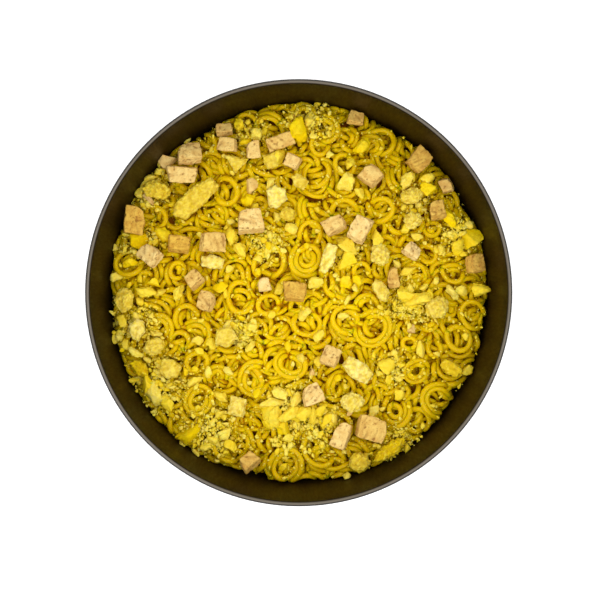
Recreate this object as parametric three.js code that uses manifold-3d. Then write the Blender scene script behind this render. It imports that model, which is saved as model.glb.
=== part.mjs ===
// A dark round bowl of curled dried noodles, under cubes of dried meat and crumbly yellow chunks.
// Millimetres, +Z up. The origin is the middle of the flat ring that the bowl stands on.
import * as THREE from "three";
import { mergeVertices } from "three/addons/utils/BufferGeometryUtils.js";
import Module from "manifold-3d";

// The bowl: a thin wall that leans out a little, with rounded lower corners and a low foot ring.
const RIM_RADIUS = 85;
const BOWL_HEIGHT = 58;
const WALL_THICKNESS = 2;
const WALL_LEAN = 0.16; // outward run of the wall for each millimetre of height
const FOOT_HEIGHT = 3;
const FOOT_INNER_RADIUS = 40;
const FOOT_OUTER_RADIUS = 46;
const FLOOR_THICKNESS = 2.6;
const OUTER_CORNER = 16;
const INNER_CORNER = 13.5;
const BOWL_SIDES = 60;

// The heap: its bare top is highest in the middle, rolls off at the wall and swells unevenly.
const HEAP_WALL_GAP = 0.4;
const HEAP_EDGE_HEIGHT = 34.5;
const HEAP_CROWN = 4.5;
const HEAP_SHOULDER = 3;
const HEAP_SHOULDER_WIDTH = 7;
const HEAP_SWELL = 0.9;
const HEAP_SIDES = 36;
const HEAP_RING_SPACING = 9.5;

// Noodles: round strands that lie in curls, partly sunk in the heap.
const NOODLE_RADIUS = 1.2;
const NOODLE_SINK = 0.35; // how much of its radius a strand lies below the heap's bare top
const NOODLE_STEP = 3.5;
const NOODLE_SHORTEST = 11;

// Loose pieces on the heap.
const TOUCH_GAP = 0.3; // between pieces that rest on each other
const SAMPLE_STEP = 0.8; // spacing of the points at which a resting piece is felt from below
const MOST_TILT = 10; // degrees
const CUBE_HEIGHT_SHARE = [0.74, 0.92]; // a cube's height as a share of its shorter side
const CUBE_WEDGE = 0.3; // most by which two opposite sides differ, as a share of their length
const CUBE_NICK = [0.72, 0.98]; // how far out the one worn upright edge still reaches
const FLAKE_BOXINESS = 3.2; // 2 rounds a flake's outline to an ellipse, more squares it up
const SPECK_SINK = 0.3; // how much of its height a small fused chunk is sunk in the heap

// Cubes of dried meat: middle x and y, length, width, turn in degrees. Those that lie plainly on a slant
// also have their lean in degrees and the direction in which the top leans.
const MEAT_CUBES = [
  [-44.5, 57, 9.5, 7.5, 5, 28, 78], [-47.5, 48.3, 12, 6.5, -2], [-30.5, 67, 7, 4.6, 8, 26, 90],
  [-29, 60.5, 7.6, 5.5, -8, 18, 180], [-67, 29.5, 8.5, 11, -8], [-18.5, 58.5, 5.5, 6.5, 4],
  [-7.5, 61.5, 11.5, 5.5, 20], [-2.5, 53.5, 6, 5.5, -25], [-19.5, 29, 10, 9, 6, 12, 75],
  [23.5, 71.5, 6.3, 5, -10, 20, 60], [29.5, 48, 8, 8, 45], [49.5, 54.5, 7.8, 9, -40, 10, 20],
  [56.5, 34, 6.3, 7, 10, 18, 100], [60.5, 44, 5.2, 6, 20, 15, 200], [14.5, 27.5, 9, 6.6, 25, 14, 150],
  [25, 26, 7.5, 10.5, -28], [-60.5, 15.5, 8.6, 7.4, -40, 30, 148], [-48.5, 20, 9, 6.6, -6, 12, 60],
  [-35, 20.5, 10, 7.5, -3, 24, 0], [-42.5, 5.5, 6.6, 6.2, 40, 20, 120], [-37.5, -3.5, 6.6, 7.6, -17, 20, 130],
  [-14, 3.5, 5, 5.5, 8], [-1.5, 0.5, 9, 7.6, -5, 14, 90], [38.5, 6, 4.5, 8, 6],
  [46, 17, 6.4, 5.2, -35, 26, 45], [72.3, 12, 6.6, 7.6, 8, 22, 20], [13, -26, 7, 7.6, -25, 16, 100],
  [5.5, -41.5, 8, 7.4, 20, 12, 70], [29.5, -55.5, 11.5, 9, -15, 10, 30], [17.5, -58, 6.6, 10.3, -20, 14, 160],
  [-20.5, -69, 7.4, 6, 42, 28, 90],
];

// Yellow chunks: middle x and y, length, width, height, turn, number of sides of a flake (0 is a lump).
const YELLOW_CHUNKS = [
  [-42, 38.5, 22, 8.6, 5.5, 42, 7], [-58, 42, 12, 8, 6, -15, 0], [-25.5, 53.5, 9.5, 10, 4, 90, 3],
  [-11, 54, 8, 7, 3.5, 10, 4], [-9, 39, 8.5, 9.5, 5, 10, 6], [-4.5, 32, 7, 6.5, 5, 0, 0],
  [0.5, 45.5, 8, 5.5, 3.5, -30, 5], [46, 39.5, 10.5, 7, 5, 15, 0], [46.5, 29.5, 8, 7.5, 6, 0, 0],
  [-35, 12.5, 9.5, 6, 4, -8, 6], [-71, -3, 11, 8.5, 6, 80, 0], [-66, -15, 7, 9.5, 5, 8, 6],
  [12, 14, 13, 6, 3.5, 68, 6], [33, 15.5, 8, 10, 5.5, 20, 0], [33.5, 1, 5.5, 10, 4, 30, 6],
  [56.5, -6, 10, 9.5, 7, 0, 0], [-30, -18, 9.5, 8.5, 5, 30, 5], [-59, -22, 9.5, 7.5, 6, 25, 0],
  [-52.5, -31, 9, 8, 5.5, -20, 6], [-65, -31, 9.5, 5.5, 5, -40, 0], [-25, -46.5, 7.4, 9.5, 5.5, -8, 4],
  [24, -31.5, 13, 8, 4.5, -40, 6], [22, -44.5, 10, 9, 6, 0, 0], [25, -69, 9.5, 9, 6.5, 0, 0],
  [37, -64.5, 15.5, 6.5, 6, 35, 0], [62.5, -31, 9.5, 6, 3.5, -35, 6],
];

// Smaller chunks that are fused to the heap: middle x and y, and width.
const SMALL_CHUNKS = [
  [48.5, -1.5, 6.5], [62.5, 2.5, 5.5], [73.5, -0.5, 6], [-10.5, -45.5, 6.5], [-1.5, -45, 6],
  [-63, -37.5, 7], [18.5, 19, 5.5], [71, 21.5, 5.5], [-7, -52.5, 7], [3.5, -50.5, 7],
  [-19.5, 43.5, 4.5], [-53.5, 54, 5.5], [-60.5, -2, 6], [31, -49, 5],
];

// The plainest curls: middle x and y, and radius.
const CURLS = [
  [-38.5, 58.5, 5], [-21, 67.5, 6], [-11, 69.5, 6], [0.5, 72, 6.5], [8, 61, 5], [18, 64, 6.5],
  [30, 60.5, 7.5], [41.5, 49, 6.5], [17, 43, 8], [34.5, 35.5, 8.5], [-33, 46, 6], [-17.5, 45, 5.5],
  [4, 36, 6], [4.5, 22, 6], [1.5, 10.5, 5.5], [-15, 13.5, 9], [-25, -3, 7], [-12, -6, 6],
  [21, 5.5, 5.5], [19, -12, 6], [30, -14.5, 8.5], [9, -7, 10], [63.5, 11, 7], [66.5, -13, 8],
  [63, -22.5, 6.5], [46, -32.5, 8.5], [40.5, -46.5, 7], [13, -38, 6.5], [-15.5, -35, 8.5],
  [-5, -28.5, 7.5], [-35.5, -33, 6.5], [-43, -15, 7], [-38.5, -44, 8], [57.5, -44.5, 7],
  [-28, -62.5, 7], [-4.5, -70, 5.5], [9.5, -69, 7.5], [44.5, -10, 7], [61, 33, 7], [-53, 4, 7],
  [-71, 12, 6], [-60, 31, 6],
];

const BOWL_FINISH = new THREE.MeshStandardMaterial({ color: 0x1c1a17, roughness: 0.4 });
const NOODLE_FINISH = new THREE.MeshStandardMaterial({ color: 0xd6b612, roughness: 0.55 });
const MEAT_FINISH = new THREE.MeshStandardMaterial({ color: 0xdcb482, roughness: 0.8 });
const CHUNK_FINISH = new THREE.MeshStandardMaterial({ color: 0xe6d650, roughness: 0.85 });

const UP = new THREE.Vector3(0, 0, 1);
const DOWN = new THREE.Vector3(0, 0, -1);
const ray = new THREE.Raycaster();
const wasm = await Module();
wasm.setup();

// Repeatable random numbers from 0 to 1.
function randomFrom(seed) {
  let state = seed;
  return () => {
    state = (state * 1664525 + 1013904223) % 4294967296;
    return state / 4294967296;
  };
}

function between(random, low, high) {
  return low + (high - low) * random();
}

// Radius of the bowl's inside or outside at a height, for a rim radius on that side.
function wallRadius(rimRadius, height) {
  return rimRadius - WALL_LEAN * (BOWL_HEIGHT - height);
}

// Adds to a profile the round corner that joins a level floor to the leaning wall.
function addCorner(profile, rimRadius, floorHeight, radius, clockwise) {
  const lean = Math.atan(WALL_LEAN);
  const height = floorHeight + radius;
  const middle = wallRadius(rimRadius, height) - radius / Math.cos(lean);
  const [from, to] = clockwise ? [-lean, -Math.PI / 2] : [-Math.PI / 2, -lean];
  profile.lineTo(middle + radius * Math.cos(from), height + radius * Math.sin(from));
  profile.absarc(middle, height, radius, from, to, clockwise);
}

function bowlGeometry() {
  const rimRound = WALL_THICKNESS / 2;
  const profile = new THREE.Path();
  profile.moveTo(0, FOOT_HEIGHT);
  profile.lineTo(FOOT_INNER_RADIUS - 1, FOOT_HEIGHT);
  profile.lineTo(FOOT_INNER_RADIUS, 0);
  profile.lineTo(FOOT_OUTER_RADIUS, 0);
  profile.lineTo(FOOT_OUTER_RADIUS + 1, FOOT_HEIGHT);
  addCorner(profile, RIM_RADIUS, FOOT_HEIGHT, OUTER_CORNER, false);
  profile.absarc(RIM_RADIUS - rimRound, BOWL_HEIGHT - rimRound, rimRound, 0, Math.PI, false);
  addCorner(profile, RIM_RADIUS - WALL_THICKNESS, FOOT_HEIGHT + FLOOR_THICKNESS, INNER_CORNER, true);
  profile.lineTo(0, FOOT_HEIGHT + FLOOR_THICKNESS);
  return new THREE.LatheGeometry(profile.getPoints(2), BOWL_SIDES).rotateX(Math.PI / 2);
}

// Height of the heap's bare top.
function heapTop(x, y) {
  const edgeRadius = wallRadius(RIM_RADIUS - WALL_THICKNESS, HEAP_EDGE_HEIGHT) - HEAP_WALL_GAP;
  const out = Math.hypot(x, y);
  const past = Math.max(0, out - (edgeRadius - HEAP_SHOULDER_WIDTH)) / HEAP_SHOULDER_WIDTH;
  const swell = Math.sin(x / 9 + 1.3) * Math.cos(y / 10 - 0.7) + 0.6 * Math.sin((x - y) / 13);
  const crown = HEAP_CROWN * (1 - (out / edgeRadius) ** 2);
  return HEAP_EDGE_HEIGHT + crown + HEAP_SWELL * swell - HEAP_SHOULDER * past ** 2;
}

// The bare heap fills the bowl up to its uneven top.
function heapGeometry() {
  const rimRadius = RIM_RADIUS - WALL_THICKNESS - HEAP_WALL_GAP;
  const sideTop = HEAP_EDGE_HEIGHT - HEAP_SHOULDER - 2;
  const profile = new THREE.Path();
  profile.moveTo(0, FOOT_HEIGHT + FLOOR_THICKNESS + HEAP_WALL_GAP);
  addCorner(profile, rimRadius, FOOT_HEIGHT + FLOOR_THICKNESS + HEAP_WALL_GAP, INNER_CORNER, false);
  const points = profile.getPoints(2);
  points.push(new THREE.Vector2(wallRadius(rimRadius, sideTop), sideTop));
  const topStart = points.length;
  const edgeRadius = wallRadius(rimRadius, sideTop);
  const rings = Math.round(edgeRadius / HEAP_RING_SPACING);
  for (let ring = rings; ring >= 0; ring -= 1) {
    points.push(new THREE.Vector2((edgeRadius * ring) / rings, HEAP_EDGE_HEIGHT));
  }
  const geometry = new THREE.LatheGeometry(points, HEAP_SIDES).rotateX(Math.PI / 2);
  const position = geometry.attributes.position;
  for (let i = 0; i < position.count; i += 1) {
    if (i % points.length < topStart) continue;
    position.setZ(i, heapTop(position.getX(i), position.getY(i)));
  }
  return geometry;
}

// A mesh's geometry, in the heap's frame, as a solid that can be joined to others.
function solidOf(geometry) {
  const plain = geometry.clone();
  plain.deleteAttribute("normal");
  plain.deleteAttribute("uv");
  const merged = mergeVertices(plain, 1e-4);
  return new wasm.Manifold(new wasm.Mesh({
    numProp: 3,
    vertProperties: merged.attributes.position.array,
    triVerts: new Uint32Array(merged.index.array),
  }));
}

function geometryOf(solid) {
  const { vertProperties, triVerts } = solid.getMesh();
  return new THREE.BufferGeometry()
    .setAttribute("position", new THREE.BufferAttribute(vertProperties, 3))
    .setIndex(new THREE.BufferAttribute(triVerts, 1));
}

// Height of the first surface that a vertical ray meets, if it meets one.
function surfaceHeight(meshes, x, y, from, direction) {
  ray.set(new THREE.Vector3(x, y, from), direction);
  return ray.intersectObjects(meshes)[0]?.point.z;
}

// Lowers a piece until it rests on the meshes under it.
function settle(piece, ground) {
  piece.position.z = 2 * BOWL_HEIGHT;
  piece.updateMatrixWorld(true);
  const { min, max } = new THREE.Box3().setFromObject(piece);
  let room = Infinity;
  for (let x = min.x; x <= max.x; x += SAMPLE_STEP) {
    for (let y = min.y; y <= max.y; y += SAMPLE_STEP) {
      const underside = surfaceHeight([piece], x, y, min.z - 1, UP);
      const below = surfaceHeight(ground, x, y, min.z - 1, DOWN);
      if (underside !== undefined && below !== undefined) room = Math.min(room, underside - below);
    }
  }
  piece.position.z -= room - TOUCH_GAP;
  piece.updateMatrixWorld(true);
}

// Stands a piece at a place, turned, and leaning as said or a little at random.
function placed(name, geometry, finish, place, random) {
  const { degToRad } = THREE.MathUtils;
  const slight = [between(random, 0, MOST_TILT), between(random, 0, 360)];
  const [x, y, turn, lean = slight[0], towards = slight[1]] = place;
  const piece = new THREE.Mesh(geometry, finish);
  piece.name = name;
  piece.position.set(x, y, 0);
  const hinge = new THREE.Vector3(-Math.sin(degToRad(towards)), Math.cos(degToRad(towards)), 0);
  piece.quaternion.setFromAxisAngle(hinge, degToRad(lean));
  piece.rotateZ(degToRad(turn));
  return piece;
}

// Moves every vertex of a closed shape a little, and each shared corner only once.
function roughened(geometry, amount, random) {
  geometry.deleteAttribute("normal");
  geometry.deleteAttribute("uv");
  const merged = mergeVertices(geometry, 1e-3);
  const position = merged.attributes.position;
  for (let i = 0; i < position.count; i += 1) {
    position.setXYZ(
      i,
      position.getX(i) + between(random, -amount, amount),
      position.getY(i) + between(random, -amount, amount),
      position.getZ(i) + between(random, -amount, amount),
    );
  }
  return merged;
}

// A knife-cut cube whose corners are drawn in and whose faces bulge slightly. Its sides aren't quite
// parallel, and one of its upright edges is worn off.
function cubeGeometry(length, width, random) {
  const height = Math.min(length, width) * between(random, ...CUBE_HEIGHT_SHARE);
  const wedge = between(random, -CUBE_WEDGE, CUBE_WEDGE);
  const slant = between(random, -CUBE_WEDGE, CUBE_WEDGE);
  const nick = between(random, ...CUBE_NICK);
  const geometry = new THREE.BoxGeometry(length, width, height, 2, 2, 2);
  const position = geometry.attributes.position;
  for (let i = 0; i < position.count; i += 1) {
    const point = new THREE.Vector3().fromBufferAttribute(position, i);
    const outermost = ["x", "y", "z"].filter((axis) => Math.abs(point[axis]) > 0.1).length;
    point.multiplyScalar([1, 1, 0.98, 0.95][outermost]);
    if (point.x * wedge > 0.1 && point.y > 0.1) point.multiply(new THREE.Vector3(nick, nick, 1));
    const across = 1 + (wedge * point.y) / width;
    const along = 1 + (slant * point.z) / height;
    position.setXYZ(i, point.x * across, point.y * along, point.z);
  }
  return roughened(geometry, 0.25, random);
}

// A crumbly lump, fuller at the bottom.
function lumpGeometry(length, width, height, random) {
  const ball = roughened(new THREE.IcosahedronGeometry(1, 1), 0.1, random);
  return ball.scale(length / 2, width / 2, height / 2);
}

// A flat flake: an irregular, squarish outline with worn edges.
function flakeGeometry(length, width, height, sides, random) {
  const edge = height * 0.2;
  const outline = [];
  for (let i = 0; i < sides; i += 1) {
    const angle = ((i + 0.5 + between(random, -0.2, 0.2)) / sides) * 2 * Math.PI;
    const [cos, sin] = [Math.cos(angle), Math.sin(angle)];
    const roundness = Math.abs(cos) ** FLAKE_BOXINESS + Math.abs(sin) ** FLAKE_BOXINESS;
    const reach = between(random, 0.9, 1.06) / roundness ** (1 / FLAKE_BOXINESS);
    outline.push(new THREE.Vector2(reach * cos * (length / 2 - edge), reach * sin * (width / 2 - edge)));
  }
  const geometry = new THREE.ExtrudeGeometry(new THREE.Shape(outline), {
    depth: height - 2 * edge,
    bevelThickness: edge,
    bevelSize: edge,
    bevelSegments: 1,
  });
  return geometry.translate(0, 0, edge - height / 2);
}

function chunkGeometry(length, width, height, sides, random) {
  if (sides === 0) return lumpGeometry(length, width, height, random);
  return flakeGeometry(length, width, height, sides, random);
}

// Whether a point is clear of every loose piece and of the bowl's wall.
function isClear(point, pieces, margin) {
  const inner = wallRadius(RIM_RADIUS - WALL_THICKNESS, point.z) - HEAP_WALL_GAP - 2 * NOODLE_RADIUS;
  if (Math.hypot(point.x, point.y) > inner) return false;
  return pieces.every((piece) => {
    const local = piece.worldToLocal(point.clone());
    return piece.geometry.boundingBox.distanceToPoint(local) > margin;
  });
}

// The points of a loose curl that tightens by a fifth along its length and lies on the heap.
function curlPoints([x, y, radius], heap, random) {
  const start = between(random, 0, 2 * Math.PI);
  const sweep = between(random, 1.45, 1.85) * Math.PI;
  const steps = Math.ceil((sweep * radius) / NOODLE_STEP);
  const points = [];
  for (let i = 0; i <= steps; i += 1) {
    const reach = radius * (1 - (0.2 * i) / steps);
    const angle = start + (sweep * i) / steps;
    const [px, py] = [x + reach * Math.cos(angle), y + reach * Math.sin(angle)];
    const under = surfaceHeight([heap], px, py, 2 * BOWL_HEIGHT, DOWN);
    if (under === undefined) continue;
    points.push(new THREE.Vector3(px, py, under - NOODLE_SINK * NOODLE_RADIUS));
  }
  return points;
}

// The longest stretch of a curl that stays clear of the loose pieces.
function longestClearRun(points, pieces) {
  let best = [];
  let run = [];
  for (const point of points) {
    run = isClear(point, pieces, NOODLE_RADIUS + TOUCH_GAP) ? [...run, point] : [];
    if (run.length > best.length) best = run;
  }
  return best;
}

function strandGeometry(points) {
  const section = new THREE.Shape();
  section.absarc(0, 0, NOODLE_RADIUS, 0, 2 * Math.PI);
  return new THREE.ExtrudeGeometry(section, {
    steps: points.length - 1,
    curveSegments: 3,
    extrudePath: new THREE.CatmullRomCurve3(points),
  });
}

function looseMeat(heap) {
  const random = randomFrom(11);
  const cubes = [];
  MEAT_CUBES.forEach(([x, y, length, width, ...turns], i) => {
    const name = `meat_cube_${String(i + 1).padStart(2, "0")}`;
    const geometry = cubeGeometry(length, width, random);
    const cube = placed(name, geometry, MEAT_FINISH, [x, y, ...turns], random);
    settle(cube, [heap, ...cubes]);
    cubes.push(cube);
  });
  return cubes;
}

function looseChunks(heap, cubes) {
  const random = randomFrom(23);
  const chunks = [];
  YELLOW_CHUNKS.forEach(([x, y, length, width, height, turn, sides], i) => {
    const name = `yellow_chunk_${String(i + 1).padStart(2, "0")}`;
    const geometry = chunkGeometry(length, width, height, sides, random);
    const chunk = placed(name, geometry, CHUNK_FINISH, [x, y, turn], random);
    settle(chunk, [heap, ...cubes, ...chunks]);
    chunks.push(chunk);
  });
  return chunks;
}

// Joins the curls and the small chunks that show to the bare heap.
function heapWithNoodles(heap, loosePieces) {
  const random = randomFrom(37);
  loosePieces.forEach((piece) => piece.geometry.computeBoundingBox());
  let solid = solidOf(heap.geometry);
  for (const [x, y, width] of SMALL_CHUNKS) {
    const height = 0.7 * width;
    const under = surfaceHeight([heap], x, y, 2 * BOWL_HEIGHT, DOWN);
    const middle = new THREE.Vector3(x, y, under + height * (0.5 - SPECK_SINK));
    if (!isClear(middle, loosePieces, width / 2 + TOUCH_GAP)) continue;
    const lump = lumpGeometry(width, width, height, random);
    solid = solid.add(solidOf(lump.translate(middle.x, middle.y, middle.z)));
  }
  for (const curl of CURLS) {
    const run = longestClearRun(curlPoints(curl, heap, random), loosePieces);
    if (run.length * NOODLE_STEP < NOODLE_SHORTEST) continue;
    const joined = solid.add(solidOf(strandGeometry(run)));
    if (joined.decompose().length === 1) solid = joined;
  }
  const noodles = new THREE.Mesh(geometryOf(solid), NOODLE_FINISH);
  noodles.name = "noodles";
  return noodles;
}

const bowl = new THREE.Mesh(bowlGeometry(), BOWL_FINISH);
bowl.name = "bowl";
const bareHeap = new THREE.Mesh(heapGeometry(), NOODLE_FINISH);
const meat = looseMeat(bareHeap);
const chunks = looseChunks(bareHeap, meat);
const noodles = heapWithNoodles(bareHeap, [...meat, ...chunks]);

const filledBowl = new THREE.Group();
filledBowl.add(bowl, noodles, ...meat, ...chunks);
export default filledBowl;
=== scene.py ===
import math

import bmesh
import bpy
import numpy as np
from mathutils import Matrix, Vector, noise


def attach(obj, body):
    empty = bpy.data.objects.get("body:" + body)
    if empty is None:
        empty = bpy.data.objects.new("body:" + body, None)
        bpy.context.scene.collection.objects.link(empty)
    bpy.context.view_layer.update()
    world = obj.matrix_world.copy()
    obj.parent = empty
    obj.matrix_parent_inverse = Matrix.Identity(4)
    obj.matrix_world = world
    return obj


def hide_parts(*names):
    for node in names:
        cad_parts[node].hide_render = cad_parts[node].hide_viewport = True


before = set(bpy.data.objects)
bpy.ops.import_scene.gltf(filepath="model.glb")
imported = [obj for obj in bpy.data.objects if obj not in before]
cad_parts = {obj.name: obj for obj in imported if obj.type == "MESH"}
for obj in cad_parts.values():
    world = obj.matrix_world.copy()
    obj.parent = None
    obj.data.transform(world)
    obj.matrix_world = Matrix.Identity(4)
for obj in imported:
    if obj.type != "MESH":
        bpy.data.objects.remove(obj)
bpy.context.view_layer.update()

MM = 0.001


# ---------------------------------------------------------------------------
# The bowl. One thin round shell of dark moulded plastic with a satin surface,
# a rounded rim, a wall that leans out, rounded lower corners and a foot ring.
# Half of its section is drawn once and spun round the middle.

RIM_RADIUS = 85 * MM
BOWL_HEIGHT = 58 * MM
WALL = 2 * MM
WALL_LEAN = 0.16  # how far out the wall goes for each unit of height
FLOOR_HEIGHT = 5.6 * MM
OUTER_CORNER = 16 * MM
INNER_CORNER = 13.5 * MM
FOOT_HEIGHT = 3 * MM
FOOT_ROOTS = (38.6 * MM, 46.8 * MM)  # where the ring's two sides meet the underside
FOOT_EDGES = (40.4 * MM, 45.2 * MM)  # the middles of its two rounded edges
FOOT_ROUND = 0.8 * MM


def colour(red, green, blue):
    """A colour as a screen shows it, 0 to 255, in the linear values that a shader takes."""
    channels = [value / 255 for value in (red, green, blue)]
    linear = [c / 12.92 if c <= 0.04045 else ((c + 0.055) / 1.055) ** 2.4 for c in channels]
    return (*linear, 1.0)


def add(tree, kind, inputs=None, **settings):
    """Adds a shader node, with its settings, and sets or links its inputs."""
    made = tree.nodes.new("ShaderNode" + kind)
    for name, value in settings.items():
        setattr(made, name, value)
    for name, value in (inputs or {}).items():
        if isinstance(value, bpy.types.NodeSocket):
            tree.links.new(value, made.inputs[name])
        else:
            made.inputs[name].default_value = value
    return made


def finish(name, **values):
    """A new material: its node tree, its shader, and its pattern space in metres."""
    material = bpy.data.materials.new(name)
    material.use_nodes = True
    tree = material.node_tree
    shader = tree.nodes["Principled BSDF"]
    for socket, value in values.items():
        shader.inputs[socket.replace("_", " ")].default_value = value
    place = tree.nodes.new("ShaderNodeTexCoord").outputs["Object"]
    return material, tree, shader, place


def speckle(tree, place, per_metre, detail=4.0, roughness=0.6, stretch=(1, 1, 1)):
    """Noise from 0 to 1 of a given fineness, stretched along the axes if asked."""
    mapped = add(tree, "Mapping", {"Vector": place, "Scale": [per_metre * s for s in stretch]})
    made = add(tree, "TexNoise", {"Vector": mapped.outputs[0], "Scale": 1.0,
                                  "Detail": detail, "Roughness": roughness})
    return made.outputs[0]


def ramp(tree, value, low, high, to_low=0.0, to_high=1.0):
    """A value moved from one range to another and held there."""
    made = add(tree, "MapRange", {"Value": value, "From Min": low, "From Max": high,
                                  "To Min": to_low, "To Max": to_high})
    return made.outputs[0]


def blended(tree, share, first, second):
    """Two colours, or two linked colours, mixed by a share."""
    made = tree.nodes.new("ShaderNodeMix")
    made.data_type = "RGBA"
    for index, value in ((0, share), (6, first), (7, second)):
        if isinstance(value, bpy.types.NodeSocket):
            tree.links.new(value, made.inputs[index])
        else:
            made.inputs[index].default_value = value
    return made.outputs[2]


def bumped(tree, shader, height, strength, depth):
    """Gives a finish a relief that is too fine for the mesh."""
    made = add(tree, "Bump", {"Height": height, "Strength": strength, "Distance": depth})
    tree.links.new(made.outputs[0], shader.inputs["Normal"])


def distance_out(tree, place):
    """How far a point is from the bowl's middle line, in metres."""
    flat = add(tree, "VectorMath", {0: place, 1: (1, 1, 0)}, operation="MULTIPLY")
    return add(tree, "VectorMath", {0: flat.outputs[0]}, operation="LENGTH").outputs["Value"]


def wall_radius(rim_radius, height):
    """Radius of the wall's inside or outside at a height, for the rim's radius on that side."""
    return rim_radius - WALL_LEAN * (BOWL_HEIGHT - height)


def arc(middle, radius, start, end, steps):
    """Points of an arc in the section, as distance out and height."""
    angles = [start + (end - start) * i / steps for i in range(steps + 1)]
    return [(middle[0] + radius * math.cos(a), middle[1] + radius * math.sin(a)) for a in angles]


def corner(rim_radius, floor, radius, outward):
    """The round corner between a level floor and the leaning wall."""
    lean = math.atan(WALL_LEAN)
    height = floor + radius
    middle = (wall_radius(rim_radius, height) - radius / math.cos(lean), height)
    ends = (-math.pi / 2, -lean) if outward else (-lean, -math.pi / 2)
    return arc(middle, radius, *ends, steps=14)


def spun(section, steps):
    """A closed round shape from half of its section."""
    bm = bmesh.new()
    line = [bm.verts.new((out, 0, height)) for out, height in section]
    edges = [bm.edges.new(pair) for pair in zip(line, line[1:])]
    bmesh.ops.spin(bm, geom=line + edges, cent=(0, 0, 0), axis=(0, 0, 1),
                   angle=2 * math.pi, steps=steps, use_merge=True)
    bmesh.ops.remove_doubles(bm, verts=bm.verts, dist=0.01 * MM)
    bmesh.ops.recalc_face_normals(bm, faces=bm.faces)
    return bm


def add_piece(name, shape, material, slot, *replaced):
    """Makes a bmesh or a mesh a piece of the object that stands for CAD nodes."""
    mesh = shape
    if isinstance(shape, bmesh.types.BMesh):
        mesh = bpy.data.meshes.new(name)
        shape.to_mesh(mesh)
        shape.free()
    mesh.materials.append(material)
    mesh.shade_smooth()
    made = bpy.data.objects.new(name, mesh)
    bpy.context.scene.collection.objects.link(made)
    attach(made, "root")
    if replaced:
        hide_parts(*replaced)


def bowl_section():
    """Half of the section, from the middle of the underside out over the foot, up, and back inside."""
    section = [(0, FOOT_HEIGHT), (FOOT_ROOTS[0], FOOT_HEIGHT)]
    section += arc((FOOT_EDGES[0], FOOT_ROUND), FOOT_ROUND, math.pi, 1.5 * math.pi, steps=4)
    section += arc((FOOT_EDGES[1], FOOT_ROUND), FOOT_ROUND, 1.5 * math.pi, 2 * math.pi, steps=4)
    section += [(FOOT_ROOTS[1], FOOT_HEIGHT)]
    section += corner(RIM_RADIUS, FOOT_HEIGHT, OUTER_CORNER, outward=True)
    section += arc((RIM_RADIUS - WALL / 2, BOWL_HEIGHT - WALL / 2), WALL / 2, 0, math.pi, steps=10)
    section += corner(RIM_RADIUS - WALL, FLOOR_HEIGHT, INNER_CORNER, outward=False)
    section += [(0, FLOOR_HEIGHT)]
    return section


bowl_finish, tree, shader, place = finish("satin dark plastic")
mottle = ramp(tree, speckle(tree, place, 60, detail=6), 0.3, 0.7, 0.25, 0.75)
tone = blended(tree, mottle, colour(37, 26, 1), colour(53, 37, 1))
height = add(tree, "SeparateXYZ", {"Vector": place}).outputs["Z"]
# Painted shade: the wall's colour darkens towards the rim.
upper_wall_shade = ramp(tree, height, BOWL_HEIGHT - 10 * MM, BOWL_HEIGHT - 1 * MM)
tone = blended(tree, upper_wall_shade, tone, colour(22, 14, 3))
# Painted highlight: the rim's top is a pale grey-beige. The same band also gets more specular and less
# roughness below.
rim_top = ramp(tree, height, BOWL_HEIGHT - 0.3 * MM, BOWL_HEIGHT - 0.05 * MM)
tone = blended(tree, rim_top, tone, colour(90, 80, 64))
# Painted shade: the rim's outer side is nearly black.
rim_side_shade = ramp(tree, distance_out(tree, place), RIM_RADIUS - 0.9 * MM, RIM_RADIUS - 0.4 * MM)
tone = blended(tree, rim_side_shade, tone, colour(24, 20, 14))
tree.links.new(tone, shader.inputs["Base Color"])
tree.links.new(ramp(tree, rim_top, 0, 1, 0.15, 0.6), shader.inputs["Specular IOR Level"])
scuffs = speckle(tree, place, 900, detail=3, stretch=(1, 1, 0.15))
scuffed = ramp(tree, scuffs, 0.3, 0.75, 0.38, 0.55)
smoothed = ramp(tree, rim_top, 0, 1, 0, 0.1)
satin = add(tree, "Math", {0: scuffed, 1: smoothed}, operation="SUBTRACT")
tree.links.new(satin.outputs[0], shader.inputs["Roughness"])
bumped(tree, shader, speckle(tree, place, 2600, detail=2), 0.25, 0.05 * MM)
add_piece("plain_bowl", spun(bowl_section(), steps=160), bowl_finish, "bowl", "bowl")


# ---------------------------------------------------------------------------
# Cubes of dried meat. Each is knife-cut, so its faces are flat and its edges
# fairly sharp, and drying has left fine grooves along the grain and small pits.
# Each starts as a copy of its plain solid, which is meshed finely and roughened.

CUBES = 31
CUBE_MESH = 0.4 * MM
GROOVES_PER_METRE = 900
PITS_PER_METRE = 900
SWELLS_PER_METRE = 300
TINT = "tint"  # how pale a point is, from 0 to 1
HOLLOW = "hollow"  # how far it lies in a hollow of the relief
# The cubes that are plainly paler or browner than most.
CUBE_TINTS = {5: 0.05, 9: 0.75, 12: 0.1, 13: 0.15, 15: 0.55, 16: 0.85, 17: 0.75, 18: 0.0,
              22: 1.0, 23: 0.05, 24: 0.25, 25: 0.9, 26: 0.1, 28: 0.75, 30: 0.7, 31: 0.2}


def fine_copy(node, mesh_size):
    """A CAD node's shape as a bmesh with an even, fine mesh."""
    bm = bmesh.new()
    bm.from_mesh(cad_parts[node].data)
    bmesh.ops.remove_doubles(bm, verts=bm.verts, dist=0.001 * MM)
    plain = bpy.data.meshes.new("plain")
    bm.to_mesh(plain)
    holder = bpy.data.objects.new("plain", plain)
    bpy.context.scene.collection.objects.link(holder)
    remesh = holder.modifiers.new("even mesh", "REMESH")
    remesh.mode = "VOXEL"
    remesh.voxel_size = mesh_size
    evaluated = holder.evaluated_get(bpy.context.evaluated_depsgraph_get())
    bm.clear()
    bm.from_mesh(evaluated.to_mesh())
    evaluated.to_mesh_clear()
    bpy.data.objects.remove(holder)
    bpy.data.meshes.remove(plain)
    return bm


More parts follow.
